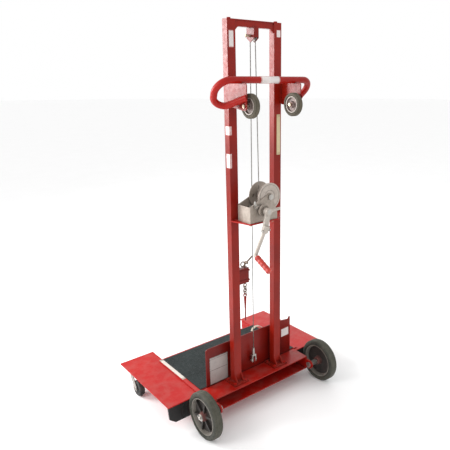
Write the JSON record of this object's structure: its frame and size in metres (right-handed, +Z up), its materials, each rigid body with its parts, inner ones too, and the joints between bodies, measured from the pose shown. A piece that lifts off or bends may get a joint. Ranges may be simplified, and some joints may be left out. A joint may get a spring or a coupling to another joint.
{
  "type": "hand-winch platform lift truck",
  "caption": "Hand-winch platform lift truck: straddle legs on wheels and casters, a two-post mast with a geared rope winch, and a rubber-topped load platform.",
  "frame": {"origin": "on the floor, under the middle of the whole outline", "axes": "+X along the wheel axles, to the right of a person pushing; +Y forward, from the handle towards the load platform; +Z up the mast"},
  "size_m": [0.892, 0.6974, 1.6602],
  "materials": {
    "red_paint": "gloss",
    "dark_red_paint": "satin",
    "zinc_plate": "satin",
    "winch_zinc": "satin",
    "bare_steel": "satin",
    "dark_steel": "satin",
    "wire_rope": "satin",
    "grey_rim": "satin",
    "tyre_rubber": "matte",
    "caster_rubber": "matte",
    "mat_rubber": "matte",
    "red_grip": "satin"
  },
  "bodies": {
    "frame": {"cross_channel": "red_paint", "wheel_axles": "zinc_plate", "axle_hardware": "zinc_plate", "leg_left": "red_paint", "leg_right": "red_paint", "leg_ends": "dark_steel", "front_tie": "red_paint", "caster_plates": "zinc_plate", "kingpins": "zinc_plate", "mast_post_left": "red_paint", "mast_post_right": "red_paint", "frame_bolts": "zinc_plate", "top_beam": "red_paint", "sheave_bracket": "red_paint", "sheave_pin": "zinc_plate", "handle_tube": "red_paint", "handle_plate_left": "red_paint", "handle_plate_right": "red_paint", "handle_wheel_bolts": "zinc_plate", "winch_plate": "red_paint", "winch_bolts": "zinc_plate", "winch_frame": "winch_zinc", "gear_guard": "winch_zinc", "drum_shaft": "zinc_plate", "rope_rear_fall": "wire_rope", "rope_front_fall": "wire_rope", "tie_block": "dark_red_paint", "tie_chain": "dark_steel", "tie_strap": "dark_red_paint"},
    "wheel_left": {"wheel_rim_left": "grey_rim", "wheel_tyre_left": "tyre_rubber"},
    "wheel_right": {"wheel_rim_right": "grey_rim", "wheel_tyre_right": "tyre_rubber"},
    "handle_wheel_left": {"handle_rim_left": "grey_rim", "handle_tyre_left": "tyre_rubber"},
    "handle_wheel_right": {"handle_rim_right": "grey_rim", "handle_tyre_right": "tyre_rubber"},
    "caster_left": {"caster_fork_left": "zinc_plate"},
    "caster_right": {"caster_fork_right": "zinc_plate"},
    "caster_roll_left": {"caster_wheel_left": "caster_rubber"},
    "caster_roll_right": {"caster_wheel_right": "caster_rubber"},
    "carriage": {"carriage_plate": "red_paint", "platform": "red_paint", "platform_mat": "mat_rubber", "rope_clevis": "zinc_plate"},
    "roller_left_lower": {"guide_roller_left_lower": "bare_steel"},
    "roller_right_lower": {"guide_roller_right_lower": "bare_steel"},
    "roller_left_upper": {"guide_roller_left_upper": "bare_steel"},
    "roller_right_upper": {"guide_roller_right_upper": "bare_steel"},
    "drum": {"drum": "winch_zinc", "drum_gear": "winch_zinc", "rope_wraps": "wire_rope"},
    "crank": {"crank_shaft": "bare_steel", "ratchet_wheel": "winch_zinc", "crank_arm": "winch_zinc", "crank_tube": "winch_zinc", "crank_bolt": "zinc_plate"},
    "grip": {"crank_grip": "red_grip"},
    "sheave": {"sheave": "bare_steel"},
    "pawl": {"pawl": "bare_steel"}
  },
  "joints": [
    {"name": "carriage_lift", "type": "slide", "parent": "frame", "child": "carriage", "axis": [0, 0, 1], "range_m": [0, 1.25], "deforming": ["rope_front_fall"]},
    {"name": "drum_spin", "type": "hinge", "parent": "frame", "child": "drum", "pos_m": [-0.004, -0.2093, 0.98], "axis": [0, 1, 0], "range_deg": [-3549, 20]},
    {"name": "crank_spin", "type": "hinge", "parent": "frame", "child": "crank", "pos_m": [-0.04996, -0.2813, 0.93404], "axis": [0, 1, 0], "range_deg": [-20, 14133]},
    {"name": "sheave_spin", "type": "hinge", "parent": "frame", "child": "sheave", "pos_m": [0, -0.1323, 1.6], "axis": [1, 0, 0], "range_deg": [-20, 4641]},
    {"name": "roller_spin_left_lower", "type": "hinge", "parent": "carriage", "child": "roller_left_lower", "pos_m": [-0.115, -0.1343, 0.166], "axis": [1, 0, 0], "range_deg": [-20, 6195]},
    {"name": "roller_spin_right_lower", "type": "hinge", "parent": "carriage", "child": "roller_right_lower", "pos_m": [0.115, -0.1343, 0.166], "axis": [1, 0, 0], "range_deg": [-20, 6195]},
    {"name": "roller_spin_left_upper", "type": "hinge", "parent": "carriage", "child": "roller_left_upper", "pos_m": [-0.115, -0.1343, 0.284], "axis": [1, 0, 0], "range_deg": [-6195, 20]},
    {"name": "roller_spin_right_upper", "type": "hinge", "parent": "carriage", "child": "roller_right_upper", "pos_m": [0.115, -0.1343, 0.284], "axis": [1, 0, 0], "range_deg": [-6195, 20]},
    {"name": "wheel_spin_left", "type": "hinge", "parent": "frame", "child": "wheel_left", "pos_m": [-0.335, -0.2173, 0.1015], "axis": [1, 0, 0], "continuous": true},
    {"name": "handle_wheel_spin_left", "type": "hinge", "parent": "frame", "child": "handle_wheel_left", "pos_m": [-0.108, -0.2513, 1.342], "axis": [1, 0, 0], "continuous": true},
    {"name": "caster_swivel_left", "type": "hinge", "parent": "frame", "child": "caster_left", "pos_m": [-0.411, 0.2757, 0], "axis": [0, 0, 1], "continuous": true},
    {"name": "caster_roll_left", "type": "hinge", "parent": "caster_left", "child": "caster_roll_left", "pos_m": [-0.411, 0.2357, 0.0375], "axis": [1, 0, 0], "continuous": true},
    {"name": "wheel_spin_right", "type": "hinge", "parent": "frame", "child": "wheel_right", "pos_m": [0.335, -0.2173, 0.1015], "axis": [1, 0, 0], "continuous": true},
    {"name": "handle_wheel_spin_right", "type": "hinge", "parent": "frame", "child": "handle_wheel_right", "pos_m": [0.108, -0.2513, 1.342], "axis": [1, 0, 0], "continuous": true},
    {"name": "caster_swivel_right", "type": "hinge", "parent": "frame", "child": "caster_right", "pos_m": [0.411, 0.2757, 0], "axis": [0, 0, 1], "continuous": true},
    {"name": "caster_roll_right", "type": "hinge", "parent": "caster_right", "child": "caster_roll_right", "pos_m": [0.411, 0.2357, 0.0375], "axis": [1, 0, 0], "continuous": true},
    {"name": "grip_spin", "type": "hinge", "parent": "crank", "child": "grip", "pos_m": [-0.09496, -0.2553, 0.75404], "axis": [0, -0.891, -0.454], "continuous": true},
    {"name": "pawl_swing", "type": "hinge", "parent": "frame", "child": "pawl", "pos_m": [-0.08196, -0.2473, 0.95104], "axis": [0, 1, 0], "range_deg": [-25, 8], "stiffness_Nm_per_rad": 0.02}
  ],
  "couplings": [
    {"joint": "drum_spin", "follows": "carriage_lift", "rad_per_m": -49.261},
    {"joint": "crank_spin", "follows": "carriage_lift", "rad_per_m": 197.04},
    {"joint": "sheave_spin", "follows": "carriage_lift", "rad_per_m": 64.516},
    {"joint": "roller_spin_left_lower", "follows": "carriage_lift", "rad_per_m": 86.207},
    {"joint": "roller_spin_right_lower", "follows": "carriage_lift", "rad_per_m": 86.207},
    {"joint": "roller_spin_left_upper", "follows": "carriage_lift", "rad_per_m": -86.207},
    {"joint": "roller_spin_right_upper", "follows": "carriage_lift", "rad_per_m": -86.207}
  ]
}
